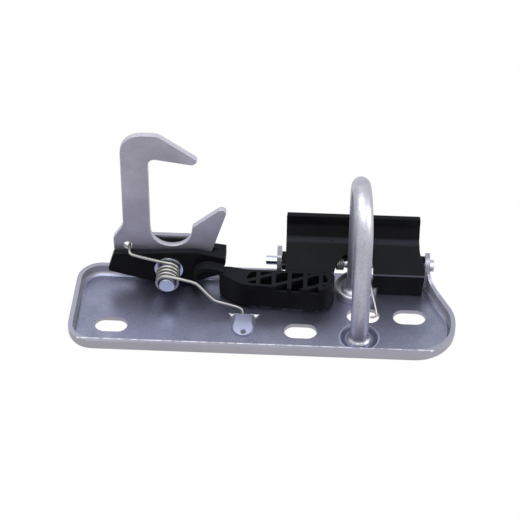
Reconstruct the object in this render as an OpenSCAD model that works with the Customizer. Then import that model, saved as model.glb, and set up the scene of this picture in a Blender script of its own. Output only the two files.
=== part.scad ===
// Bonnet latch: pressed catch plate with striker loop, sprung safety hook and sprung flap.
// The origin is on the plate's underside, at the middle of its outline.
// X runs along the plate, Y to the hinge side and Z up.

/* [Plate] */
// Width of the pressed plate over its rim, before its corners are rounded
plate_w = 170; // [166:1:190]
// Depth of the pressed plate over its rim
plate_d = 50.8; // [49:0.2:58]
// Sheet thickness of the plate
sheet = 2; // [1.5:0.1:2.4]
// Height of the rim's top over the underside
rim_h = 7; // [6:0.2:7.4]
// Inner radius of the bend between floor and rim
bend_r = 2; // [1.5:0.1:2.5]
// How far the left side leans in towards the back
left_lean = 1.5; // [0:0.5:4]
// How far the right side leans in towards the back
right_lean = 13; // [10:0.5:13.5]
// Length of a slot
slot_l = 14.5; // [12:0.5:16]
// Width of a slot, for an 8 mm bolt
slot_w = 9; // [8.4:0.1:9.6]
// Distance between the left and the middle mounting slot
slot_pitch = 83.6; // [80:0.2:86]
// Distance of the left mounting slot from the plate's left end
left_slot_in = 18.6; // [18:0.2:22]
// Distance of the mounting slot line from the plate's front edge
slot_line = 16; // [14.6:0.2:17]
// Distance of the right slot from the plate's right edge
right_slot_in = 20; // [19:0.5:21]
// Distance of the right slot and the spring slot from the front edge
rear_slot_line = 27.4; // [27:0.2:28.4]
// Width of the lanced louvre that holds the hook spring
louvre_w = 10.6; // [9.6:0.1:11.4]
// Length of the louvre from its mouth to its round end
louvre_l = 11.5; // [10.5:0.1:12]
// Height of the louvre over the floor
louvre_h = 3; // [2.9:0.1:3.6]

/* [Striker] */
// Diameter of the striker rod
rod_d = 8; // [7:0.2:9]
// Distance of the striker's middle from the plate's right end
striker_in = 43.1; // [42:0.1:43.5]
// How far the front leg stands to the right of the rear leg
leg_skew = 2.2; // [0:0.1:2.6]
// Distance of the front leg's axis from the plate's front edge
front_leg_in = 13.5; // [13:0.1:14]
// Distance of the rear leg's axis from the plate's back edge
rear_leg_in = 7.3; // [7.2:0.1:7.6]
// Height of the loop's top over the underside
striker_h = 75.6; // [70:0.2:90]
// Diameter of the flared foot of the front leg
front_foot_d = 10.6; // [10:0.1:12]
// Diameter of the flared foot of the rear leg
rear_foot_d = 12.6; // [11.5:0.1:13]
// Diameter of the rear collar
collar_d = 19; // [18.4:0.2:20]
// Height of the rear collar
collar_h = 4; // [3:0.1:4.2]

/* [Hook] */
// Thickness of the hook plate
hook_t = 2.6; // [2.2:0.1:3]
// Height of the hook's top over the underside
hook_h = 85.8; // [80:0.2:92]
// Reach of the nose from the hook's back edge
nose_reach = 34.2; // [32:0.2:36]
// Width of the hook's shank
shank_w = 12; // [11:0.2:13]
// Width of the round throat
throat_w = 18.1; // [17:0.1:19]
// Height of the throat's bottom over the pivot
throat_up = 10.6; // [10:0.1:12]
// Distance of the hook pivot from the plate's left end
pivot_in = 42.4; // [41.5:0.1:43.5]
// Height of the hook pivot over the underside
pivot_z = 13.4; // [13:0.1:14]
// Diameter of the hook pivot pin
pivot_d = 7; // [6:0.1:7.4]
// Distance that the pivot pin stands out in front of the washer
pivot_out = 11; // [10.5:0.1:13]
// Diameter of the pivot washer
washer_d = 12.8; // [11.5:0.1:14]
// Thickness of the pivot washer
washer_t = 1; // [0.8:0.1:1.2]
// Diameter of the hole that takes the spring's upper leg
spring_hole_d = 4; // [3.4:0.1:4.4]
// Wire diameter of the hook spring
hook_wire_d = 1.5; // [1.2:0.1:1.6]
// Turns of the hook spring
hook_turns = 4; // [3:1:5]

/* [Lever] */
// Thickness of the lever's carrier, in front of the hook
carrier_t = 3; // [2.5:0.1:3.5]
// Thickness of the lever's wall behind the hook
backing_t = 1; // [0.8:0.1:1.2]
// Height of the carrier's top over the underside
carrier_h = 20.6; // [20:0.1:21]
// Wall thickness of the moulded lever
lever_wall = 2; // [1.6:0.1:2.4]
// Height of the paddle's top over the underside
paddle_h = 16; // [15:0.2:17]
// Gap between the skirt of the paddle and the floor
skirt_gap = 1.5; // [1:0.1:2.5]
// Distance from the paddle's end to the striker's middle
paddle_gap = 10.5; // [10.3:0.1:12]
// Depth of the arch rib in front of the carrier
arch_depth = 5; // [4:0.2:5.4]
// Width of the ribs of the lattice
lattice_rib = 1.8; // [1.4:0.1:2.4]
// Distance between the straight ribs of the lattice
lattice_pitch = 6.95; // [6:0.05:8]

/* [Flap] */
// Width of the flap
flap_w = 59; // [58.4:0.1:59.4]
// Distance of the flap's right side from the plate's right end
flap_in = 16.7; // [16.5:0.1:17]
// Height of the flap's top over the underside
flap_h = 38.2; // [36:0.2:44]
// Wall thickness of the flap
flap_t = 2.2; // [1.8:0.1:2.6]
// Height of the flap pin over the underside
flap_pin_z = 12.6; // [12.4:0.1:13.2]
// Diameter of the flap pin
flap_pin_d = 4; // [3.4:0.1:4.2]
// Outer diameter of the flap's barrel on the pin
barrel_d = 8.4; // [7.6:0.1:8.8]
// Wire diameter of the flap spring
flap_wire_d = 1.2; // [1:0.1:1.3]

/* [Fits] */
// Clearance around a turning pin, on its radius
pin_fit = 0.05; // [0.02:0.01:0.1]
// Clearance of pieces that pass each other
run_gap = 0.5; // [0.4:0.1:0.8]

/* [Hidden] */
$fn = 48;
steel_grey = "#8f8f9e";
bright_zinc = "#b9bdc6";
spring_steel = "#aba6a2";
satin_black = "#202124";

// Plate outline and slots
front_y = -plate_d / 2;
back_y = plate_d / 2;
bend_out = bend_r + sheet;
right_turn_y = front_y + 25;
plate_corners = [
    [-plate_w / 2, front_y, 11],
    [plate_w / 2, front_y, 18],
    [plate_w / 2, right_turn_y, 20],
    [plate_w / 2 - right_lean, back_y, bend_out + 1],
    [-plate_w / 2 + left_lean, back_y, 11]];
slot_line_y = front_y + slot_line;
rear_slot_y = front_y + rear_slot_line;
left_slot = [left_slot_in - plate_w / 2, slot_line_y];
middle_slot = left_slot + [slot_pitch, 0];
right_slot = [plate_w / 2 - right_slot_in, rear_slot_y];
striker_x = plate_w / 2 - striker_in;
spring_slot = [striker_x + 2.6, rear_slot_y];

// Stack of the hook pivot along Y, from the rear ear to the pin's front end
pivot_x = plate_w / 2 - pivot_in;
ear_inner_y = back_y - sheet;
backing_y = ear_inner_y - run_gap;
hook_back_y = backing_y - backing_t;
hook_front_y = hook_back_y - hook_t;
carrier_front_y = hook_front_y - carrier_t;
washer_front_y = carrier_front_y - washer_t;
pivot_front_y = washer_front_y - pivot_out;
rear_ear_top = pivot_z + 13;

// Hook outline
hook_left = -pivot_x - 20.1;
shank_right = hook_left + shank_w;
throat_bottom = pivot_z + throat_up;
nose_tip_x = hook_left + nose_reach;
nose_under = hook_h - 12.5;
prong_x = shank_right + throat_w;
spring_hole = [hook_left + 1.8, pivot_z + 10];

// Lever
carrier_left = -pivot_x - 24.6;
carrier_right = -pivot_x + 25.2;
arch_left = -pivot_x + 10.9;
arch_top = pivot_z + 5;
skirt_z = sheet + skirt_gap;
arm_back_y = carrier_front_y - 0.5;
arm_left = carrier_right - 2.2;
paddle_end = striker_x - paddle_gap;
paddle_back_y = arm_back_y - 1.4;
paddle_front_y = paddle_back_y - 12.6;

// Louvre that holds the end of the hook spring, in front of the paddle
louvre = [-pivot_x + 34.4, paddle_front_y - 4.5];
louvre_skin = sheet * 0.6;
louvre_round = 3;
louvre_top = sheet + louvre_h;
crown_r = 34;
dimple_d = 2;
slit_w = louvre_w + 2;
slit_d = 1;

// Striker
front_leg = [striker_x + leg_skew / 2, front_y + front_leg_in];
rear_leg = [striker_x - leg_skew / 2, back_y - rear_leg_in];
loop_r = norm(rear_leg - front_leg) / 2;
recess_d = front_foot_d + 6;
recess_depth = sheet / 2;
front_foot_z = sheet - recess_depth;
cup_z = sheet + 1.4;
cup_wall = 1.5;
collar_top = sheet + collar_h;

// Flap and its ears
flap_pin_y = back_y - 0.5;
flap_front_y = paddle_back_y + 1.4;
flap_right = plate_w / 2 - flap_in;
flap_x = flap_right - flap_w;
left_boss_l = 1.7;
right_boss_l = 3;
boss_gap = 0.2;
left_ear_x = flap_x - left_boss_l - boss_gap - sheet;
right_ear_x = flap_right + right_boss_l + boss_gap;
tongue_w = right_ear_x + sheet - left_ear_x;
ear_top = flap_pin_z + 5.4;
ledge_z = flap_pin_z + 1.4;
lip_z = sheet + 0.6;
crease = [flap_pin_y + 1, flap_pin_z + 12.4];
notch_left = rear_leg[0] - 10;
notch_right = rear_leg[0] + 7.6;
notch_top = flap_pin_z + 8.8;
pin_head_d = flap_pin_d + 1.4;
pin_head_l = 2;
tongue_back_y = flap_pin_y + 4.5;
tongue_front_y = back_y - bend_out;
pin_tail = 5;

function unit(v) = v / norm(v);
function turned(a) = [cos(a), sin(a)];
function heading(v) = atan2(v[1], v[0]);
function flat(p) = [p[0], p[1]];
function prior(p, i) = p[(i + len(p) - 1) % len(p)];
function later(p, i) = p[(i + 1) % len(p)];

// Signed turn of an outline at corner i
function corner_turn(p, i) =
    let (a = flat(p[i]) - flat(prior(p, i)), b = flat(later(p, i)) - flat(p[i]), t = heading(b) - heading(a))
    t > 180 ? t - 360 : t < -180 ? t + 360 : t;

// Centre of the round at corner i, which lies on the inner side of the turn
function corner_centre(p, i) =
    let (a = unit(flat(p[i]) - flat(prior(p, i))), t = corner_turn(p, i), back = p[i][2] * tan(abs(t) / 2))
    flat(p[i]) - a * back + sign(t) * p[i][2] * [-a[1], a[0]];

// Direction from the centre of that round to where it begins
function corner_start(p, i) =
    heading(flat(p[i]) - flat(prior(p, i))) - sign(corner_turn(p, i)) * 90;

// Outline with its corners rounded, given as [x, y, radius]
function rounded(p, steps = 6) = [
    for (i = [0:len(p) - 1])
        for (k = [0:(p[i][2] > 0 ? steps : 0)])
            p[i][2] > 0
                ? corner_centre(p, i)
                    + p[i][2] * turned(corner_start(p, i) + corner_turn(p, i) * k / steps)
                : flat(p[i])];

// Line moved sideways to its left by t, with mitred corners
function beside(line, t) = [
    for (i = [0:len(line) - 1])
        let (a = unit(line[max(i, 1)] - line[max(i, 1) - 1]),
            b = unit(line[min(i + 1, len(line) - 1)] - line[min(i + 1, len(line) - 1) - 1]),
            n = unit([-a[1] - b[1], a[0] + b[0]]))
        line[i] + n * t / (n * [-a[1], a[0]])];

function reversed(line) = [for (i = [len(line) - 1:-1:0]) line[i]];

// Plate standing in the X-Z plane between two Y values, from an outline in X and Z
module upright(front, back) {
    translate([0, back, 0])
        rotate([90, 0, 0])
            linear_extrude(back - front)
                children();
}

// Plate standing in the Y-Z plane between two X values, from an outline in Y and Z
module sideways(left, right) {
    translate([left, 0, 0])
        rotate([90, 0, 90])
            linear_extrude(right - left)
                children();
}

// Bore or pin along Y
module along_y(x, z, d, front, back) {
    translate([x, back, z])
        rotate([90, 0, 0])
            cylinder(d = d, h = back - front);
}

// Bore or pin along X
module along_x(y, z, d, left, right) {
    translate([left, y, z])
        rotate([0, 90, 0])
            cylinder(d = d, h = right - left);
}

// Round wire through points, with bends mitred
function wire_tangent(p, i) =
    let (before = max(i, 1), after = min(i + 1, len(p) - 1))
    unit(unit(p[before] - p[before - 1]) + unit(p[after] - p[after - 1]));
function square_to(n, t) = unit(n - (n * t) * t);
module wire(points, d, sides = 12) {
    tangents = [for (i = [0:len(points) - 1]) wire_tangent(points, i)];
    first = square_to(abs(tangents[0][2]) < 0.9 ? [0, 0, 1] : [1, 0, 0], tangents[0]);
    normals = [for (i = 0, n = first; i < len(points);
        i = i + 1, n = i < len(points) ? square_to(n, tangents[i]) : n) n];
    rings = [for (i = [0:len(points) - 1]) for (k = [0:sides - 1])
        points[i] + d / 2 * (cos(360 * k / sides) * normals[i]
            + sin(360 * k / sides) * cross(tangents[i], normals[i]))];
    last = (len(points) - 1) * sides;
    sides_faces = [for (i = [0:len(points) - 2]) for (k = [0:sides - 1])
        [i * sides + k, (i + 1) * sides + k, (i + 1) * sides + (k + 1) % sides, i * sides + (k + 1) % sides]];
    polyhedron(rings, concat([[for (k = [0:sides - 1]) k]],
        sides_faces, [[for (k = [sides - 1:-1:0]) last + k]]));
}

// Section of the rim: floor bend and wall, with its outer face on x = 0
module rim_section() {
    translate([-sheet, bend_out])
        square([sheet, rim_h - bend_out]);
    translate([-bend_out, bend_out])
        intersection() {
            difference() {
                circle(bend_out);
                circle(bend_r);
            }
            translate([0, -bend_out])
                square(bend_out);
        }
}

// Pressed pan: rings of the plate's outline, from the underside over the rim to the floor inside it
module pan() {
    bend_steps = 5;
    corner_steps = 10;
    bends = [for (k = [0:bend_steps]) turned(-90 * (1 - k / bend_steps))];
    sections = concat(
        [for (b = bends) [bend_out * (1 - b[0]), bend_out * (1 + b[1])]],
        [[0, rim_h], [sheet, rim_h]],
        [for (b = reversed(bends)) [bend_out - bend_r * b[0], bend_out + bend_r * b[1]]]);
    per_ring = len(plate_corners) * (corner_steps + 1);
    points = [for (s = sections) for (i = [0:len(plate_corners) - 1]) for (k = [0:corner_steps])
        let (p = corner_centre(plate_corners, i) + (plate_corners[i][2] - s[0])
            * turned(corner_start(plate_corners, i) + corner_turn(plate_corners, i) * k / corner_steps))
        [p[0], p[1], s[1]]];
    walls = [for (j = [0:len(sections) - 2]) for (k = [0:per_ring - 1])
        let (a = j * per_ring, b = a + per_ring, n = (k + 1) % per_ring)
        [a + k, b + k, b + n, a + n]];
    top = (len(sections) - 1) * per_ring;
    polyhedron(points, concat([[for (k = [0:per_ring - 1]) k]], walls,
        [[for (k = [per_ring - 1:-1:0]) top + k]]));
}

// Slot through the floor, long along X
module slot(place) {
    translate([place[0], place[1], -1])
        linear_extrude(sheet + 2) {
            square([slot_l - slot_w, slot_w], center = true);
            for (s = [-1, 1])
                translate([s * (slot_l - slot_w) / 2, 0])
                    circle(d = slot_w);
        }
}

// Scoop on the floor with a crowned top and a round end, and with its mouth to the back
module scoop(w, l, h, r) {
    translate([louvre[0], 0, 0])
        intersection() {
            union() {
                upright(louvre[1] - l + w / 2, louvre[1])
                    polygon(rounded([[-w / 2, 0, 0], [w / 2, 0, 0], [w / 2, h, r], [-w / 2, h, r]]));
                translate([0, louvre[1] - l + w / 2, 0])
                    rotate([0, 0, 180])
                        rotate_extrude(angle = 180)
                            polygon(rounded([[0, 0, 0], [w / 2, 0, 0], [w / 2, h, r], [0, h, 0]]));
            }
            along_x(louvre[1] + 0.5, h - crown_r, 2 * crown_r, -w, w);
        }
}

// Ear of the flap pin, bent up from the tongue with its outer face on x = 0
module flap_ear(top_r) {
    rotate([90, 0, 0])
        translate([0, 0, -tongue_back_y])
            linear_extrude(tongue_back_y - tongue_front_y + 1)
                rim_section();
    sideways(-sheet, 0)
        polygon(rounded([
            [tongue_front_y - 1, bend_out, 0],
            [tongue_back_y, bend_out, 0],
            [tongue_back_y, ear_top, top_r],
            [flap_pin_y - 3.4, ear_top, top_r],
            [tongue_front_y - 1, rim_h + 5, 4]]));
}

// Sweep from the right ear down to the rim, in the plane of the leaning side
module ear_sweep() {
    corner = flat(plate_corners[3]);
    along = flat(plate_corners[2]) - corner;
    inset = 0.2;
    foot_z = rim_h - 1;
    translate([corner[0], corner[1], 0])
        rotate([90, 0, heading(along)])
            translate([0, 0, inset])
                linear_extrude(sheet - 2 * inset)
                    polygon(rounded([
                        [3.6, foot_z, 0],
                        [17, foot_z, 0],
                        [15, rim_h, 8],
                        [7, rim_h + 1, 5],
                        [4.6, ear_top - 6, 0],
                        [3.6, ear_top - 6, 0]]));
}

module base_plate() {
    color(steel_grey)
        difference() {
            union() {
                difference() {
                    pan();
                    translate([left_ear_x, tongue_front_y, -1])
                        cube([plate_w, plate_d, rim_h + 2]);
                }
                translate([left_ear_x + bend_out, tongue_front_y - 1, 0])
                    cube([tongue_w - 2 * bend_out, tongue_back_y - tongue_front_y + 1, sheet]);
                translate([right_ear_x + sheet, 0, 0])
                    flap_ear(3.4);
                ear_sweep();
                translate([left_ear_x, 0, 0])
                    mirror([1, 0, 0])
                        flap_ear(1.2);
                upright(ear_inner_y, back_y)
                    polygon(rounded([
                        [-pivot_x - 17, rim_h - 1, 0],
                        [-pivot_x + 17, rim_h - 1, 0],
                        [-pivot_x + 10.5, rear_ear_top, 3],
                        [-pivot_x - 10.5, rear_ear_top, 3]]));
                scoop(louvre_w, louvre_l, louvre_top, louvre_round);
            }
            for (place = [left_slot, middle_slot, right_slot, spring_slot])
                slot(place);
            translate([0, 0.01, -0.01])
                scoop(louvre_w - 2 * louvre_skin, louvre_l - louvre_skin, louvre_top - louvre_skin,
                    louvre_round - louvre_skin);
            translate([louvre[0] - slit_w / 2, louvre[1], -1])
                cube([slit_w, slit_d, sheet + 2]);
            translate([louvre[0] + 0.3, louvre[1] - louvre_l + 1.7, louvre_top - 1.1])
                sphere(d = dimple_d);
            translate([front_leg[0], front_leg[1], front_foot_z])
                cylinder(d = recess_d, h = recess_depth + 1);
            for (leg = [front_leg, rear_leg])
                translate([leg[0], leg[1], -1])
                    cylinder(d = rod_d, h = sheet + 2);
            along_y(-pivot_x, pivot_z, pivot_d, ear_inner_y - 1, back_y + 1);
            along_x(flap_pin_y, flap_pin_z, flap_pin_d, left_ear_x - 1, left_ear_x + sheet + 1);
            along_x(flap_pin_y, flap_pin_z, flap_pin_d, right_ear_x - 1, right_ear_x + sheet + 1);
        }
}

// Flared foot around a leg, as a half section
module foot_section(foot_d) {
    r = rod_d / 2;
    flare = foot_d / 2 - r;
    polygon([
        [0, 0],
        [r + flare, 0],
        [r + flare, 0.7],
        [r + flare * 0.86, 1.2],
        [r + flare * 0.45, 1.7],
        [r + flare * 0.15, 2.5],
        [r, 3.4],
        [0, 3.4]]);
}

module striker_loop() {
    bend_z = striker_h - rod_d / 2 - loop_r;
    middle = (front_leg + rear_leg) / 2;
    color(steel_grey)
        translate([middle[0], middle[1], 0])
            rotate([0, 0, heading(rear_leg - front_leg)]) {
                for (s = [-1, 1])
                    translate([s * loop_r, 0, 0])
                        cylinder(d = rod_d, h = bend_z);
                translate([0, 0, bend_z])
                    rotate([90, 0, 0])
                        rotate_extrude(angle = 180)
                            translate([loop_r, 0])
                                circle(d = rod_d);
                translate([-loop_r, 0, front_foot_z])
                    rotate_extrude()
                        foot_section(front_foot_d);
                translate([loop_r, 0, cup_z])
                    rotate_extrude()
                        foot_section(rear_foot_d);
            }
}

// Round cup under the foot of the rear leg
module striker_rear_collar() {
    r = collar_d / 2;
    color(steel_grey)
        translate([rear_leg[0], rear_leg[1], 0])
            rotate_extrude()
                polygon([
                    [rod_d / 2, sheet],
                    [r, sheet],
                    [r, collar_top - 0.6],
                    [r - 0.6, collar_top],
                    [r - cup_wall, collar_top],
                    [r - cup_wall, cup_z],
                    [rod_d / 2, cup_z]]);
}

module hook() {
    color(steel_grey)
        difference() {
            upright(hook_front_y, hook_back_y)
                polygon(rounded([
                    [hook_left - 4.2, pivot_z - 1, 3],
                    [-pivot_x - 8, pivot_z - 7.5, 4],
                    [-pivot_x + 8, pivot_z - 7.5, 6],
                    [prong_x + 8.2, pivot_z + 5, 3],
                    [prong_x + 17.5, throat_bottom + 26, 2.1],
                    [prong_x + 0.4, throat_bottom + 11, 2.5],
                    [prong_x, throat_bottom, throat_w / 2 - 0.1],
                    [shank_right, throat_bottom, throat_w / 2 - 0.1],
                    [shank_right, nose_under, 3],
                    [nose_tip_x - 3, nose_under - 3, 2],
                    [nose_tip_x, nose_under - 0.6, 1.6],
                    [hook_left + 16.4, hook_h, 7],
                    [hook_left, hook_h, 9.5],
                    [hook_left, throat_bottom + 11, 6],
                    [hook_left - 4.6, throat_bottom + 3.4, 4]]));
            along_y(-pivot_x, pivot_z, pivot_d + 2 * pin_fit, hook_front_y - 1, hook_back_y + 1);
            along_y(spring_hole[0], spring_hole[1], spring_hole_d, hook_front_y - 1, hook_back_y + 1);
        }
}

// Plan of the arm and paddle, drawn in from its outer wall by inset
module paddle_plan(inset) {
    polygon(rounded([
        [arm_left + inset, arm_back_y - inset, 0],
        [carrier_right + 2.5, arm_back_y - inset, 3],
        [-pivot_x + 34.6, paddle_back_y - inset, 16],
        [paddle_end - inset, paddle_back_y - inset, 3 - inset],
        [paddle_end - inset, paddle_front_y + inset, 8 - inset],
        [-pivot_x + 33, paddle_front_y + 2.6 + inset, 14],
        [arm_left + inset, arm_back_y - 4.6 + inset, 0]]));
}

// Slanted holes of one column of the lattice, between its ribs
module lattice_column(column, rows) {
    slant = 0.43;
    row_pitch = 7.6;
    hole_w = lattice_pitch - lattice_rib;
    hole_d = row_pitch - lattice_rib;
    x = paddle_end - 32.9 + column * lattice_pitch;
    for (row = rows)
        let (y = paddle_back_y - 3.2 + slant * (x - paddle_end + 31.4) + row * row_pitch)
            polygon(rounded([[x, y, 0.5], [x + hole_w, y + slant * hole_w, 0.5],
                [x + hole_w, y + slant * hole_w + hole_d, 0.5], [x, y + hole_d, 0.5]], 3));
}

// Field of the lattice, with round ends
module lattice_field() {
    end_r = 5.4;
    first = paddle_end - 38.8 + end_r;
    last = paddle_end - 3 - end_r;
    middle_y = (paddle_back_y + paddle_front_y) / 2 + 0.6;
    for (x = [first, last])
        translate([x, middle_y])
            circle(end_r);
    translate([first, paddle_front_y])
        square([last - first, paddle_back_y - paddle_front_y]);
}

// Hollow and holes of the paddle
module paddle_cuts() {
    hole_rim = 1.3;
    dip = 2.6;
    translate([0, 0, skirt_z - 1])
        linear_extrude(paddle_h - skirt_z + 1 - lever_wall)
            paddle_plan(lever_wall);
    translate([0, 0, skirt_z])
        linear_extrude(paddle_h)
            intersection() {
                paddle_plan(hole_rim);
                lattice_field();
                for (column = [-1:4])
                    lattice_column(column, [-3:1]);
            }
    translate([0, 0, paddle_h - dip])
        linear_extrude(dip + 1)
            intersection() {
                translate([-pivot_x + 46, paddle_front_y - 1])
                    square([paddle_end - 7 + pivot_x - 46, 5]);
                for (column = [1:3])
                    lattice_column(column, [-3:-1]);
            }
}

module lever() {
    color(satin_black)
        difference() {
            union() {
                upright(carrier_front_y, hook_front_y)
                    polygon(rounded([
                        [carrier_left - 2.8, pivot_z - 2.7, 1.5],
                        [-pivot_x - 7, pivot_z - 8.5, 5],
                        [-pivot_x + 9, pivot_z - 8.5, 5],
                        [carrier_right - 3, pivot_z - 3, 3],
                        [carrier_right, carrier_h - 4, 2],
                        [carrier_right, carrier_h - 0.6, 1],
                        [-pivot_x + 12, carrier_h + 2.4, 8],
                        [carrier_left, carrier_h, 1.5]]));
                upright(hook_front_y - 0.1, back_y + 0.4)
                    polygon([
                        [prong_x + 9, carrier_h - 5.6],
                        [carrier_right, carrier_h - 5.6],
                        [carrier_right, carrier_h - 0.6],
                        [prong_x + 9.8, carrier_h + 0.2]]);
                upright(hook_back_y, backing_y)
                    polygon(rounded([
                        [-pivot_x - 12, pivot_z - 6.5, 3],
                        [-pivot_x + 12, pivot_z - 6.5, 3],
                        [carrier_right - 1, carrier_h - 5, 0],
                        [carrier_right - 1, carrier_h - 1, 0],
                        [prong_x, rear_ear_top - 0.8, 2],
                        [shank_right - 4, rear_ear_top - 0.8, 2],
                        [shank_right - 6, pivot_z, 2]]));
                upright(carrier_front_y - arch_depth, carrier_front_y + 0.1)
                    difference() {
                        polygon(rounded([
                            [arch_left, skirt_z + 1.5, 0],
                            [carrier_right - 0.4, skirt_z + 1.5, 0],
                            [carrier_right - 0.4, arch_top - 1.5, 1],
                            [arch_left + 5, arch_top + 0.6, 6],
                            [arch_left, arch_top - 4, 3]]));
                        polygon(rounded([
                            [arch_left + lever_wall, skirt_z, 0],
                            [carrier_right - 0.4 - lever_wall, skirt_z, 0],
                            [carrier_right - 0.4 - lever_wall, arch_top - 1.5 - lever_wall, 1],
                            [arch_left + 5.4, arch_top + 0.4 - lever_wall, 4],
                            [arch_left + lever_wall, arch_top - 4.6, 2]]));
                    }
                difference() {
                    translate([0, 0, skirt_z])
                        linear_extrude(paddle_h - skirt_z)
                            paddle_plan(0);
                    paddle_cuts();
                }
            }
            along_y(-pivot_x, pivot_z, pivot_d + 2 * pin_fit, carrier_front_y - 1, backing_y + 1);
        }
}

module hook_pivot_pin() {
    color(bright_zinc)
        along_y(-pivot_x, pivot_z, pivot_d, pivot_front_y, back_y);
}

module hook_pivot_washer() {
    color(bright_zinc)
        difference() {
            along_y(-pivot_x, pivot_z, washer_d, washer_front_y, carrier_front_y);
            along_y(-pivot_x, pivot_z, pivot_d, washer_front_y - 1, carrier_front_y + 1);
        }
}

module hook_spring() {
    coil_r = pivot_d / 2 + hook_wire_d / 2 + 0.4;
    coil_back = washer_front_y - hook_wire_d / 2 - 0.2;
    coil_front = pivot_front_y + hook_wire_d / 2 + 0.6;
    steps = hook_turns * 24;
    leg_x = spring_hole[0] + 0.8;
    coil = [for (i = [0:steps])
        let (a = 100 - (360 * hook_turns + 20) * i / steps)
        [-pivot_x + coil_r * cos(a), coil_back + (coil_front - coil_back) * i / steps,
            pivot_z + coil_r * sin(a)]];
    upper_leg = [
        [leg_x, hook_back_y - 0.4, spring_hole[1]],
        [leg_x, carrier_front_y - 0.4, spring_hole[1]],
        [leg_x + 0.6, coil_back - 0.2, spring_hole[1] - 0.5],
        [leg_x + 2, coil_back - 0.4, spring_hole[1] - 1.2]];
    lower_leg = [
        [-pivot_x + 12.4, coil_front - 0.4, pivot_z + 2],
        [-pivot_x + 13.6, coil_front - 0.8, pivot_z + 1.2],
        [-pivot_x + 20.6, paddle_front_y - 0.6, sheet + 7],
        [-pivot_x + 21.9, paddle_front_y - 0.8, sheet + 6.4],
        [louvre[0] - 1.8, paddle_front_y - 2, sheet + 4.5],
        [louvre[0] - 0.7, louvre[1] + 1.5, sheet + 4.2],
        [louvre[0] - 0.4, louvre[1] + 0.8, sheet + 1],
        [louvre[0] - 0.4, louvre[1] - 3, sheet + 0.6]];
    color(spring_steel)
        wire(concat(upper_leg, coil, lower_leg), hook_wire_d);
}

// Section of the flap's wall in Y and Z, from its foot to its top, and the radius of its bends
function flap_line(foot_z) = [
    [flap_front_y, foot_z],
    [flap_front_y, ledge_z],
    crease,
    [crease[0] + 1.8, flap_h - 6],
    [crease[0] + 0.4, flap_h]];
function with_radii(line, radii) = [for (i = [0:len(line) - 1]) [line[i][0], line[i][1], radii[i]]];
module flap_wall(left, right, foot_z) {
    front = with_radii(flap_line(foot_z), [0, 1, 5, 5, 0.8]);
    back = with_radii(beside(flap_line(foot_z), -flap_t), [0, 0.4, 5 + flap_t, 5 + flap_t, 0.8]);
    sideways(left, right)
        polygon(rounded(concat(front, reversed(back))));
}

// Cheek between the flap's wall and its barrel
module flap_cheek(left) {
    sideways(left, left + flap_t) {
        polygon([
            [flap_front_y + 1, ledge_z - 0.8],
            [crease[0] + 0.5, crease[1] - 0.5],
            [crease[0] + 1.6, crease[1] + 5],
            [flap_pin_y + barrel_d / 2, flap_pin_z],
            [flap_pin_y - 1, flap_pin_z - barrel_d / 2]]);
        translate([flap_pin_y, flap_pin_z])
            circle(d = barrel_d);
    }
}

// Wall behind the notch, with the sides that carry it
module notch_back() {
    back = flap_pin_y + barrel_d / 2 + 1.2;
    foot_z = flap_pin_z - 3;
    top_z = crease[1] + 5.5;
    wall_t = 1.4;
    inset = 0.3;
    upright(back - wall_t, back)
        translate([notch_left - flap_t + inset, foot_z])
            square([notch_right - notch_left + 2 * flap_t - 2 * inset, top_z - foot_z]);
    for (left = [notch_left - flap_t, notch_right])
        upright(flap_pin_y + 0.5, back)
            translate([left + inset, foot_z])
                square([flap_t - 2 * inset, crease[1] - foot_z]);
}

// Right end of the flap's foot, which flares out towards the lip
module flap_wing() {
    flare = right_boss_l - 0.1;
    intersection() {
        flap_wall(flap_right - 1, flap_right + flare, lip_z);
        upright(flap_front_y - 1, crease[0] + 5)
            polygon(rounded([
                [flap_right - 1, lip_z - 1, 0],
                [flap_right + flare - 0.9, lip_z - 1, 0],
                [flap_right + flare, ledge_z - 1, 0],
                [flap_right + flare, ledge_z + 2.4, 3],
                [flap_right + 0.6, ledge_z + 6, 6],
                [flap_right - 0.2, crease[1] + 2, 0],
                [flap_right - 1, crease[1] + 2, 0]]));
    }
}

module flap() {
    color(satin_black)
        difference() {
            union() {
                difference() {
                    union() {
                        flap_wall(flap_x, striker_x, ledge_z - 1.4);
                        flap_wall(striker_x, flap_right, lip_z);
                        flap_wing();
                        for (left = [flap_x, notch_left - flap_t, notch_right, flap_right - flap_t])
                            flap_cheek(left);
                        along_x(flap_pin_y, flap_pin_z, barrel_d, flap_x - left_boss_l, notch_left);
                        along_x(flap_pin_y, flap_pin_z, barrel_d, notch_right, flap_right + right_boss_l);
                    }
                    upright(flap_front_y - 5, back_y + 15)
                        polygon(rounded([
                            [notch_left, 0, 0],
                            [notch_right, 0, 0],
                            [notch_right, notch_top, 6],
                            [notch_left, notch_top, 9]]));
                }
                notch_back();
            }
            translate([rear_leg[0], rear_leg[1], 0])
                cylinder(d = collar_d + 2 * run_gap, h = collar_top + run_gap);
            along_x(flap_pin_y, flap_pin_z, flap_pin_d + 2 * pin_fit,
                flap_x - left_boss_l - 1, flap_right + right_boss_l + 1);
        }
}

module flap_pin() {
    head_x = right_ear_x + sheet;
    color(bright_zinc) {
        along_x(flap_pin_y, flap_pin_z, flap_pin_d, left_ear_x - pin_tail, head_x + pin_head_l / 2);
        along_x(flap_pin_y, flap_pin_z, pin_head_d, head_x, head_x + pin_head_l);
    }
}

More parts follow.
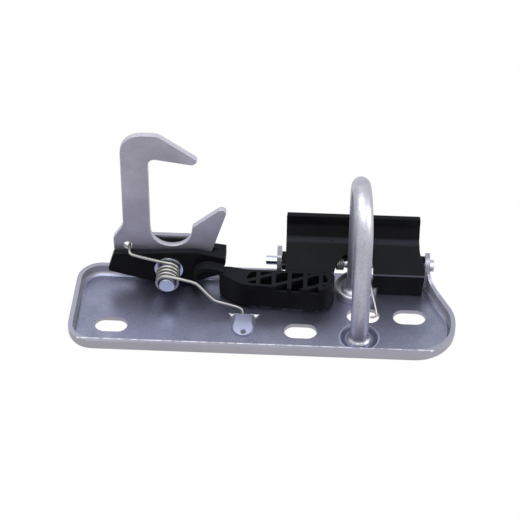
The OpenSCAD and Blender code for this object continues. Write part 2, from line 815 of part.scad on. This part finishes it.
module flap_spring() {
    coil_r = flap_pin_d / 2 + flap_wire_d / 2 + 0.3;
    turns = 4;
    steps = turns * 20;
    coil_left = notch_left + flap_wire_d / 2 + 0.4;
    coil_right = rear_leg[0] - rod_d / 2 - flap_wire_d - 0.2;
    coil = [for (i = [0:steps])
        let (a = 90 - 360 * turns * i / steps - 180 * i / steps)
        [coil_left + (coil_right - coil_left) * i / steps, flap_pin_y + coil_r * cos(a),
            flap_pin_z + coil_r * sin(a)]];
    leg_x = spring_slot[0] + 6.2;
    leg = [
        [notch_right - 3, flap_pin_y, flap_pin_z - coil_r],
        [notch_right - 1.7, flap_pin_y - 1.4, flap_pin_z - coil_r],
        [notch_right - 1.1, flap_pin_y - 10.9, collar_top + 3.4],
        [leg_x - 0.1, spring_slot[1] + 1.6, sheet + 0.7],
        [leg_x - 0.2, spring_slot[1] + 0.6, sheet - 0.4],
        [leg_x - 1.2, spring_slot[1] + 0.2, sheet - 0.9],
        [leg_x - 3, spring_slot[1] + 0.4, sheet - 1]];
    upper = [[coil_left, flap_pin_y + coil_r + 0.4, flap_pin_z + coil_r + 2]];
    color(spring_steel)
        wire(concat(upper, coil, leg), flap_wire_d);
}

base_plate();
striker_loop();
striker_rear_collar();
hook();
lever();
hook_pivot_pin();
hook_pivot_washer();
hook_spring();
flap();
flap_pin();
flap_spring();
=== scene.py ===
"""Bonnet latch: looks on the CAD frame. Sizes are in metres, or in millimetres where a name ends in _mm."""

import math

import bmesh
import bpy
from mathutils import Matrix, Vector


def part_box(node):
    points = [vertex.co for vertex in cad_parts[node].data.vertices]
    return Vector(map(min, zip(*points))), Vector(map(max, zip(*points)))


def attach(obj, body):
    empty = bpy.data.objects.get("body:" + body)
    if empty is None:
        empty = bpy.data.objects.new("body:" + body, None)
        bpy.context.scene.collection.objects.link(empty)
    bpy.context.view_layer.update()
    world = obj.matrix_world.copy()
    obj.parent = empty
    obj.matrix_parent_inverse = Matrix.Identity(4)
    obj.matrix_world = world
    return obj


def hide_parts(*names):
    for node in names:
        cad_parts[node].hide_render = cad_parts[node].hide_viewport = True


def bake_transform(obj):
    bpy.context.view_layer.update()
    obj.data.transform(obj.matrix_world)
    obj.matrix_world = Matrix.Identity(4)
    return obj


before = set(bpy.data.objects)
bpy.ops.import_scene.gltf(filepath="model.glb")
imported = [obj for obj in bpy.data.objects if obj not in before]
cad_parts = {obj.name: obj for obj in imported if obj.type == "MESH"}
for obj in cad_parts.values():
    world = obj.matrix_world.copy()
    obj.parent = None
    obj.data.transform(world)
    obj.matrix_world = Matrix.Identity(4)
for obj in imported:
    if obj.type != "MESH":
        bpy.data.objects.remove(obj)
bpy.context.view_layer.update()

MM = 0.001
BODY = {
    "base_plate": "base", "striker_loop": "base", "striker_rear_collar": "base",
    "hook_pivot_pin": "base", "hook_pivot_washer": "base", "flap_pin": "base",
    "hook_spring": "base", "flap_spring": "base",
    "hook": "hook", "lever": "hook", "flap": "flap",
}


# Nodes

def linear(code):
    """Linear colour of an sRGB hex code."""
    values = [int(code[i:i + 2], 16) / 255 for i in (1, 3, 5)]
    return [v / 12.92 if v <= 0.04045 else ((v + 0.055) / 1.055) ** 2.4 for v in values] + [1.0]


def add(tree, kind, inputs=None, out=0, **settings):
    """A shader node with its settings, whose inputs take links or plain values; gives one of its outputs."""
    node = tree.nodes.new("ShaderNode" + kind)
    for key, value in settings.items():
        setattr(node, key, value)
    for key, source in (inputs or {}).items():
        if isinstance(source, bpy.types.NodeSocket):
            tree.links.new(source, node.inputs[key])
        else:
            node.inputs[key].default_value = source
    return node.outputs[out] if node.outputs else None


# Where a colour lies on a piece: each mask is 1 there and 0 elsewhere

def band(tree, value, centre, half):
    """Within a half width of a centre, with a soft border."""
    off = add(tree, "Math", {0: value, 1: centre}, operation="SUBTRACT")
    away = add(tree, "Math", {0: off}, operation="ABSOLUTE")
    return add(tree, "MapRange", {0: away, 1: 0.4 * half, 2: half, 3: 1.0, 4: 0.0})


def near(tree, place, centre_mm, radius_mm):
    """Within a radius of a point, with a soft border."""
    away = add(tree, "VectorMath", {0: place, 1: [v * MM for v in centre_mm]}, "Value", operation="DISTANCE")
    return add(tree, "MapRange", {0: away, 1: 0.7 * radius_mm * MM, 2: 1.3 * radius_mm * MM, 3: 1.0, 4: 0.0})


def hook_edges(tree, place, normal):
    """The sheared edges of the hook, whose faces point along Y."""
    facing = add(tree, "Math", {0: add(tree, "SeparateXYZ", {0: normal}, "Y")}, operation="ABSOLUTE")
    return add(tree, "MapRange", {0: facing, 1: 0.2, 2: 0.6, 3: 1.0, 4: 0.0})


def off_floor_painted_reflection(tree, place, normal):
    """Painted reflection on the plate's bends, rim and ears: all but the flat pan floor."""
    tilt = add(tree, "SeparateXYZ", {0: normal}, "Z")
    upward = add(tree, "MapRange", {0: tilt, 1: 0.5, 2: 0.8, 3: 0.0, 4: 1.0})
    height = add(tree, "SeparateXYZ", {0: place}, "Z")
    low = add(tree, "MapRange", {0: height, 1: 2.3 * MM, 2: 3.2 * MM, 3: 1.0, 4: 0.45})
    floor = add(tree, "Math", {0: upward, 1: low}, operation="MULTIPLY")
    return add(tree, "MapRange", {0: floor, 1: 0.0, 2: 1.0, 3: 1.0, 4: 0.0})


def louvre(tree, place):
    """The louvre, as dull as the floor round it."""
    return near(tree, place, (-8.1, -8.0, 3.6), 6.6)


def dimple_shade(tree, place):
    """Painted shade in the dimple of the louvre."""
    return near(tree, place, (-7.9, -12.6, 3.7), 1.3)


def round_foot(tree, place, radius_mm, half_mm):
    """A ring on the pan floor round the striker's front foot."""
    foot_mm = (43.0, -11.9, 0)
    flat = add(tree, "VectorMath", {0: place, 1: (1, 1, 0)}, operation="MULTIPLY")
    away = add(tree, "VectorMath", {0: flat, 1: [v * MM for v in foot_mm]}, "Value", operation="DISTANCE")
    height = add(tree, "SeparateXYZ", {0: place}, "Z")
    floor = add(tree, "MapRange", {0: height, 1: 2.2 * MM, 2: 2.6 * MM, 3: 1.0, 4: 0.0})
    ring = band(tree, away, radius_mm * MM, half_mm * MM)
    return add(tree, "Math", {0: ring, 1: floor}, operation="MULTIPLY")


def recess_shade(tree, place):
    """The shaded recess between the foot and its edge."""
    return round_foot(tree, place, 7.2, 1.4)


def recess_highlight(tree, place):
    """A painted highlight along the edge of the recess."""
    return round_foot(tree, place, 8.6, 0.5)


def front_rim_highlight(tree, place):
    """A painted highlight: the broken bright line along the inner edge of the front rim's top, with dashes of about
    3 mm.
    """
    line = band(tree, add(tree, "SeparateXYZ", {0: place}, "Y"), -23.6 * MM, 0.45 * MM)
    height = add(tree, "SeparateXYZ", {0: place}, "Z")
    top = add(tree, "MapRange", {0: height, 1: 6.2 * MM, 2: 6.5 * MM, 3: 0.0, 4: 1.0})
    dashes = add(tree, "TexNoise", {"Vector": place, "Scale": 1 / (3 * MM), "Detail": 3, "Roughness": 0.55})
    broken = add(tree, "MapRange", {0: dashes, 1: 0.35, 2: 0.55, 3: 0.1, 4: 1.0})
    line = add(tree, "Math", {0: line, 1: top}, operation="MULTIPLY")
    return add(tree, "Math", {0: line, 1: broken}, operation="MULTIPLY")


# Materials

def new_material(name):
    """An empty material, with its tree and its Object coordinates."""
    material = bpy.data.materials.new(name)
    material.use_nodes = True
    tree = material.node_tree
    tree.nodes.clear()
    return material, tree, add(tree, "TexCoord", out="Object")


def surface(tree, colour, rough, grain, relief_mm, sockets):
    """The shader of a colour, a roughness and a grain that stands up in relief."""
    relief = add(tree, "Bump", {"Height": grain, "Strength": 1.0, "Distance": relief_mm * MM})
    shader = add(tree, "BsdfPrincipled",
                 {"Base Color": colour, "Roughness": rough, "Normal": relief, **sockets})
    add(tree, "OutputMaterial", {"Surface": shader})


def steel(name, tones, rough_low, rough_high, grain_mm, relief_mm=0.01, edges=None, edge="#b6b6c0", cloud_mm=14,
          drawn=1.0, marks=()):
    """Plated steel. Soft clouds in the plating run from a dark to a light tone and are drawn out along Z on a rod,
    pale specks lie 5 mm apart, edges are paler and rougher (on the pressed sheet, the faces off its floor are
    painted paler as a painted reflection), and marks have colours of their own, among them painted shade and
    painted highlights.
    The matt grain is drawn coarser than the real one, so that it shows."""
    dark, light, speck = (linear(code) for code in tones)
    material, tree, place = new_material(name)
    along = add(tree, "VectorMath", {0: place, 1: (1, 1, drawn)}, operation="MULTIPLY")
    cloud = add(tree, "TexNoise", {"Vector": along, "Scale": 1 / (cloud_mm * MM), "Detail": 4, "Roughness": 0.55})
    grain = add(tree, "TexNoise", {"Vector": place, "Scale": 1 / (grain_mm * MM), "Detail": 2, "Roughness": 0.55})
    fine = add(tree, "MapRange", {0: grain, 1: 0.3, 2: 0.7, 3: 0.0, 4: 0.25})
    tone = add(tree, "Math", {0: cloud, 1: 0.75, 2: fine}, operation="MULTIPLY_ADD")
    tone = add(tree, "MapRange", {0: tone, 1: 0.3, 2: 0.7, 3: 0.0, 4: 1.0})
    colour = add(tree, "Mix", {0: tone, 6: dark, 7: light}, 2, data_type="RGBA")
    dots = add(tree, "TexVoronoi", {"Vector": place, "Scale": 1 / (5 * MM)}, "Distance")
    dots = add(tree, "MapRange", {0: dots, 1: 0.04, 2: 0.07, 3: 0.5, 4: 0.0})
    colour = add(tree, "Mix", {0: dots, 6: colour, 7: speck}, 2, data_type="RGBA")
    rough = add(tree, "MapRange", {0: cloud, 1: 0.3, 2: 0.7, 3: rough_high, 4: rough_low})
    if edges:
        # Pale edges, and on the pressed sheet a painted reflection that pales its faces off the floor
        pale_edge_and_painted_reflection = edges(tree, place, add(tree, "TexCoord", out="Normal"))
        colour = add(tree, "Mix", {0: pale_edge_and_painted_reflection, 6: colour, 7: linear(edge)}, 2, data_type="RGBA")
        rough = add(tree, "Math", {0: pale_edge_and_painted_reflection, 1: 0.25, 2: rough}, operation="MULTIPLY_ADD")
    for mark, code in marks:
        colour = add(tree, "Mix", {0: mark(tree, place), 6: colour, 7: linear(code)}, 2, data_type="RGBA")
    surface(tree, colour, rough, grain, relief_mm, {"Metallic": 1.0})
    return material


def nylon(name, tones, gloss, highlight_bands=()):
    """Black moulded nylon. Its satin face has a fine spark-eroded grain, drawn coarser than the real one so that it
    shows, shinier patches of about 9 mm, a film of dust and painted light on what faces up, and painted highlights
    in lines across its front."""
    dark, light, dust_and_top_light = (linear(code) for code in tones)
    material, tree, place = new_material(name)
    normal = add(tree, "TexCoord", out="Normal")
    grain = add(tree, "TexNoise", {"Vector": place, "Scale": 1 / (0.35 * MM), "Detail": 2, "Roughness": 0.55})
    cloud = add(tree, "TexNoise", {"Vector": place, "Scale": 1 / (9 * MM), "Detail": 3, "Roughness": 0.55})
    tone = add(tree, "MapRange", {0: cloud, 1: 0.3, 2: 0.7, 3: 0.0, 4: 1.0})
    colour = add(tree, "Mix", {0: tone, 6: dark, 7: light}, 2, data_type="RGBA")
    # Dust and painted light on what faces up
    upward = add(tree, "MapRange",
                 {0: add(tree, "SeparateXYZ", {0: normal}, "Z"), 1: 0.1, 2: 0.9, 3: 0.0, 4: 1.0})
    colour = add(tree, "Mix", {0: upward, 6: colour, 7: dust_and_top_light}, 2, data_type="RGBA")
    front = add(tree, "MapRange",
                {0: add(tree, "SeparateXYZ", {0: normal}, "Y"), 1: -0.5, 2: -0.3, 3: 1.0, 4: 0.0})
    # Painted highlights in bands across the front, at the given heights
    for height_mm, half_mm, code in highlight_bands:
        line = band(tree, add(tree, "SeparateXYZ", {0: place}, "Z"), height_mm * MM, half_mm * MM)
        highlit_band = add(tree, "Math", {0: front, 1: line}, operation="MULTIPLY")
        colour = add(tree, "Mix", {0: highlit_band, 6: colour, 7: linear(code)}, 2, data_type="RGBA")
    rough = add(tree, "MapRange", {0: cloud, 1: 0.3, 2: 0.7, 3: 0.5, 4: 0.4})
    surface(tree, colour, rough, grain, 0.01, {"Metallic": 0.0, "Specular IOR Level": gloss})
    return material


# Zinc-plated drawn rod: pale and satin, with streaks along its length from the die
ROD_STEEL = steel("zinc_plated_drawn_rod", ("#a0a0aa", "#c2c2cc", "#d0d0d8"), 0.42, 0.5, 0.7, relief_mm=0.03,
                  cloud_mm=3, drawn=0.07)
# Zinc-plated pressed sheet: blue-grey clouds on the floor; its bends, rim and ears are duller, and painted paler as
# a painted reflection
PLATE_STEEL = steel("zinc_plated_pressed_sheet", ("#797d92", "#999cb2", "#c0c2d0"), 0.32, 0.44, 0.45,
                    # Off its floor the sheet is duller, and painted paler as a painted reflection
                    edges=off_floor_painted_reflection, edge="#a4a2ab",
                    # Painted shade in the dimple and the recess, and painted highlights on the recess edge and
                    # along the front rim
                    marks=((louvre, "#8b8fa5"), (dimple_shade, "#5c5d68"), (recess_shade, "#5e6078"),
                           (recess_highlight, "#b4b6c4"), (front_rim_highlight, "#e6e6ec")))
# Zinc-plated blanked sheet: even matt grey faces, with pale sheared edges
HOOK_STEEL = steel("zinc_plated_blanked_sheet", ("#928f9b", "#aca9b5", "#d0d0d8"), 0.42, 0.54, 0.45,
                   edges=hook_edges)
# The same plating rubbed thin along an edge: a pale line
WORN_STEEL = steel("zinc_plating_rubbed_edge", ("#a2a2ae", "#c6c6d0", "#d8d8de"), 0.4, 0.5, 0.5)
# Sheet torn and stretched by the louvre's punch, painted nearly white as a painted highlight
WING_HIGHLIGHT_STEEL = steel("stretched_sheet_painted_highlight", ("#d6d8e0", "#ececf2", "#f4f4f6"), 0.5, 0.6, 0.5)
# Bright zinc on turned pins and a washer: the smoothest metal here, cool and shiny
BRIGHT_ZINC = steel("bright_zinc_turned", ("#a6acb8", "#c4cad6", "#dee2e8"), 0.24, 0.34, 0.4)
# Drawn spring wire: neutral grey with a soft shine
SPRING_WIRE = steel("drawn_spring_wire", ("#858381", "#a3a19f", "#bebdbb"), 0.3, 0.4, 0.3)
# Black moulded nylon of the lever, paler on top with dust and painted light
BLACK_NYLON = nylon("black_moulded_nylon", ("#0c0c0d", "#131314", "#1b1c20"), 0.05)
# The flap's nylon, with two painted highlights in lines along its bends, at these heights and half widths in
# millimetres
FLAP_NYLON = nylon("black_moulded_nylon_flap", ("#0f0f10", "#151517", "#151619"), 0.06,
                   [(25.2, 1.6, "#2c2d33"), (13.9, 0.5, "#525259")])
# Nylon painted grey along its edges: a painted highlight
NYLON_EDGE_HIGHLIGHT = nylon("black_nylon_painted_edge_highlight", ("#48484e", "#5a5a62", "#68686f"), 0.1)


# Pieces

def alone(piece):
    """Makes a piece the only one that operators act on."""
    bpy.ops.object.select_all(action="DESELECT")
    bpy.context.view_layer.objects.active = piece
    piece.select_set(True)


def round_corners(mesh, radius):
    """Rounds the two upper corners of an upright wall that runs along X, in edit mode."""
    shape = bmesh.from_edit_mesh(mesh)
    top = max(v.co.z for v in shape.verts)
    corner = [v for v in shape.verts if v.co.z > top - radius]
    ends = ((min(v.co.x for v in corner), 1), (max(v.co.x for v in corner), -1))
    for vert in corner:
        for end, inward in ends:
            if abs(vert.co.x - end) < 0.05 * MM:
                rise = (vert.co.z - top + radius) / radius
                vert.co.x += inward * radius * (1 - math.sqrt(max(0.0, 1 - rise * rise)))
                break
    bmesh.update_edit_mesh(mesh)


def dressed(node, material, edge_mm=0.0, edge_material=None, rounds=0, corners_mm=0.0, winds=None):
    """The node's shape in its place, with softened edges, rounded curves or rounded upper corners; a spring given
    winds is baked in place and left unattached, and the body and the two coil ends in winds are not used."""
    sharp = math.radians(32)
    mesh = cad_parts[node].data.copy()
    piece = bpy.data.objects.new(node + "_shape", mesh)
    bpy.context.collection.objects.link(piece)
    mesh.materials.clear()
    for finish in filter(None, (material, edge_material)):
        mesh.materials.append(finish)
    alone(piece)
    bpy.ops.object.mode_set(mode="EDIT")
    bpy.ops.mesh.select_all(action="SELECT")
    bpy.ops.mesh.remove_doubles(threshold=0.002 * MM)
    if corners_mm:
        round_corners(mesh, corners_mm * MM)
    if rounds:
        bpy.ops.mesh.tris_convert_to_quads(face_threshold=0.9, shape_threshold=0.9)
    else:
        bpy.ops.mesh.dissolve_limited(angle_limit=math.radians(0.5))
    bpy.ops.object.mode_set(mode="OBJECT")
    if edge_mm:
        soften = piece.modifiers.new("edges", "BEVEL")
        soften.width = edge_mm * MM
        soften.segments = 2
        soften.limit_method = "ANGLE"
        soften.angle_limit = sharp
        soften.use_clamp_overlap = True
        soften.material = 1 if edge_material else -1
        bpy.ops.object.modifier_apply(modifier="edges")
    if rounds:
        curve = piece.modifiers.new("rounds", "SUBSURF")
        curve.levels = curve.render_levels = rounds
        bpy.ops.object.modifier_apply(modifier="rounds")
    bpy.ops.object.shade_smooth_by_angle(angle=sharp)
    level = piece.modifiers.new("level", "WEIGHTED_NORMAL")
    level.keep_sharp = True
    bpy.ops.object.modifier_apply(modifier="level")
    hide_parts(node)
    if winds:
        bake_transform(piece)
    else:
        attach(piece, BODY[node])


def hook_coil():
    """The two ends of the hook spring's coil, behind the pin's front and before the washer."""
    pin_front_mm, half_wire_mm = 1.2, 0.7
    front = Vector(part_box("hook_pivot_pin")[0]) + Vector((0, pin_front_mm * MM, 0))
    back = Vector((front.x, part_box("hook_pivot_washer")[0][1] - half_wire_mm * MM, front.z))
    return front, back


def select_where(mesh, chosen):
    """Selects in edit mode the vertices whose place is chosen."""
    bpy.ops.mesh.select_all(action="DESELECT")
    shape = bmesh.from_edit_mesh(mesh)
    for vert in shape.verts:
        vert.select = chosen(vert.co)
    shape.select_flush(True)
    bmesh.update_edit_mesh(mesh)


def louvre_wings():
    """The two stretched corners of the louvre's mouth, from its shoulders down to the floor beside it."""
    mouth = Vector((-8.2, -2.7, 0)) * MM
    shoulder, tip, foot = (mouth + Vector(spot) * MM
                           for spot in ((2.7, 0.1, 4.98), (6.9, 3.1, 2.1), (5.5, 1.0, 2.1)))
    start, steps, sag, skin = 0.04, 6, 0.35 * MM, 0.45 * MM

    # A narrow sheet from the right shoulder, which widens to the tip and the foot
    bpy.ops.object.select_all(action="DESELECT")
    bpy.ops.mesh.primitive_plane_add(size=2 * MM, location=mouth)
    wings = bpy.context.object
    wings.name = wings.data.name = "louvre_wings"
    bpy.ops.object.transform_apply(location=True)
    mesh = wings.data
    bpy.ops.object.mode_set(mode="EDIT")
    corners = [(Vector((-MM, -MM, 0)), shoulder.lerp(foot, start)), (Vector((MM, -MM, 0)), foot),
               (Vector((MM, MM, 0)), tip), (Vector((-MM, MM, 0)), shoulder.lerp(tip, start))]
    for corner, spot in corners:
        select_where(mesh, lambda place: (place - mouth - corner).length < 0.01 * MM)
        bpy.ops.transform.translate(value=spot - mouth - corner)

    # Its two long edges are cut into steps, which sag between their ends
    shape = bmesh.from_edit_mesh(mesh)
    bpy.ops.mesh.select_all(action="DESELECT")
    bpy.ops.mesh.select_mode(type="EDGE")
    for edge in shape.edges:
        edge.select = edge.calc_length() > 0.8 * (foot - shoulder).length
    bmesh.update_edit_mesh(mesh)
    bpy.ops.mesh.subdivide(number_cuts=steps - 1)
    bpy.ops.mesh.select_mode(type="VERT")
    for step in range(steps):
        t = start + (1 - start) * step / steps
        height = shoulder.lerp(foot, t).z
        select_where(mesh, lambda place: abs(place.z - height) < 0.01 * MM)
        bpy.ops.transform.translate(value=(0, 0, -sag * math.sin(math.pi * t)))

    # The sheet's thickness, and the left wing as its mirror image
    bpy.ops.mesh.select_all(action="SELECT")
    bpy.ops.mesh.extrude_region_move(TRANSFORM_OT_translate={"value": (0, 0, -skin)})
    bpy.ops.mesh.select_all(action="SELECT")
    bpy.ops.mesh.duplicate()
    bpy.ops.transform.resize(value=(-1, 1, 1), center_override=mouth)
    bpy.ops.mesh.select_all(action="SELECT")
    bpy.ops.mesh.normals_make_consistent(inside=False)
    bpy.ops.object.mode_set(mode="OBJECT")

    # Nearly white: a painted highlight on the wings
    mesh.materials.append(WING_HIGHLIGHT_STEEL)
    bpy.ops.object.shade_smooth_by_angle(angle=math.radians(50))
    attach(wings, "base")


dressed("base_plate", PLATE_STEEL, 0.3, WORN_STEEL)
dressed("striker_loop", ROD_STEEL)
dressed("striker_rear_collar", HOOK_STEEL, 0.3, WORN_STEEL)
dressed("hook", HOOK_STEEL, 0.3, WORN_STEEL)
# The nylon's grey bevels are a painted highlight
dressed("lever", BLACK_NYLON, 0.3, NYLON_EDGE_HIGHLIGHT)
dressed("hook_pivot_pin", BRIGHT_ZINC, 0.4)
dressed("hook_pivot_washer", BRIGHT_ZINC, 0.2)
dressed("hook_spring", SPRING_WIRE, rounds=1, winds=("hook", *hook_coil()))
dressed("flap", FLAP_NYLON, 0.35, NYLON_EDGE_HIGHLIGHT, corners_mm=1.4)
dressed("flap_pin", BRIGHT_ZINC, 0.5)
dressed("flap_spring", SPRING_WIRE, rounds=1)
louvre_wings()


# Stage, light and camera

def background_ray(tree):
    """High for the rays that show the background: to the camera, and by gloss or glass."""
    seen = add(tree, "LightPath", out="Is Camera Ray")
    for kind in ("Is Glossy Ray", "Is Transmission Ray"):
        seen = add(tree, "Math", {0: seen, 1: add(tree, "LightPath", out=kind)}, operation="MAXIMUM")
    return seen


def make_floor():
    """A pale floor just below the plate, plain white where it is seen as background."""
    width, drop = 3, 0.2 * MM
    bpy.ops.object.select_all(action="DESELECT")
    bpy.ops.mesh.primitive_plane_add(size=width, location=(0, 0, -drop))
    floor = bpy.context.object
    floor.name = "floor"
    material, tree, _ = new_material("floor")
    matt = add(tree, "BsdfDiffuse", {"Color": linear("#cbcbcb")})
    white = add(tree, "Emission", {"Color": linear("#ffffff"), "Strength": 1.0})
    seen = add(tree, "MixShader", {0: background_ray(tree), 1: matt, 2: white})
    add(tree, "OutputMaterial", {"Surface": seen})
    floor.data.materials.append(material)


def make_world():
    """Soft cool light that grows towards the zenith, plain white where it is seen as background."""
    world = bpy.data.worlds.new("studio")
    bpy.context.scene.world = world
    world.use_nodes = True
    tree = world.node_tree
    tree.nodes.clear()
    height = add(tree, "SeparateXYZ", {0: add(tree, "TexCoord", out="Generated")}, "Z")
    strength = add(tree, "MapRange", {0: height, 1: 0.1, 2: 0.7, 3: 0.2, 4: 0.52})
    soft = add(tree, "Background", {"Color": linear("#b2baeb"), "Strength": strength})
    white = add(tree, "Background", {"Color": linear("#ffffff"), "Strength": 1.0})
    seen = add(tree, "MixShader", {0: background_ray(tree), 1: soft, 2: white})
    add(tree, "OutputWorld", {"Surface": seen})


def lamp(name, place, target, size, watts):
    """A soft box, aimed at a target."""
    light = bpy.data.lights.new(name, "AREA")
    light.shape = "RECTANGLE"
    light.size, light.size_y = size
    light.energy = watts
    obj = bpy.data.objects.new(name, light)
    bpy.context.collection.objects.link(obj)
    obj.location = place
    obj.rotation_euler = (Vector(target) - Vector(place)).to_track_quat("-Z", "Y").to_euler()


def make_camera():
    """Camera of the photograph: 42 degrees up, 2.5 degrees to the right, turned 0.4 degrees."""
    focal_px, image_px, px_per_mm, sensor_mm = 2200, 520, 2.25, 36
    up_angle, side, roll = (math.radians(a) for a in (42, 2.5, 0.4))
    target = Vector((-1.5, 24.2, 25)) * MM
    back = Vector((math.sin(side) * math.cos(up_angle), -math.cos(side) * math.cos(up_angle), math.sin(up_angle)))
    right = (-back).cross(Vector((0, 0, 1))).normalized()
    up = right.cross(-back)
    right, up = math.cos(roll) * right + math.sin(roll) * up, math.cos(roll) * up - math.sin(roll) * right
    distance = focal_px / px_per_mm * MM
    off_x, off_y = (px / px_per_mm * MM for px in (2, -20))
    camera = bpy.data.cameras.new("camera")
    camera.sensor_width = sensor_mm
    camera.lens = sensor_mm * focal_px / image_px
    camera.clip_start = 0.01
    obj = bpy.data.objects.new("camera", camera)
    obj.matrix_world = Matrix((right, up, back)).transposed().to_4x4()
    obj.matrix_world.translation = target + back * distance - right * off_x + up * off_y
    bpy.context.collection.objects.link(obj)
    bpy.context.scene.camera = obj


make_floor()
make_world()
make_camera()
lamp("key", (-0.2, -0.25, 0.8), (0, -0.02, 0.02), (1.5, 1.0), 11)
lamp("fill", (0.65, -0.15, 0.38), (0, 0, 0.02), (0.3, 0.5), 3)
bpy.context.scene.view_settings.view_transform = "Standard"
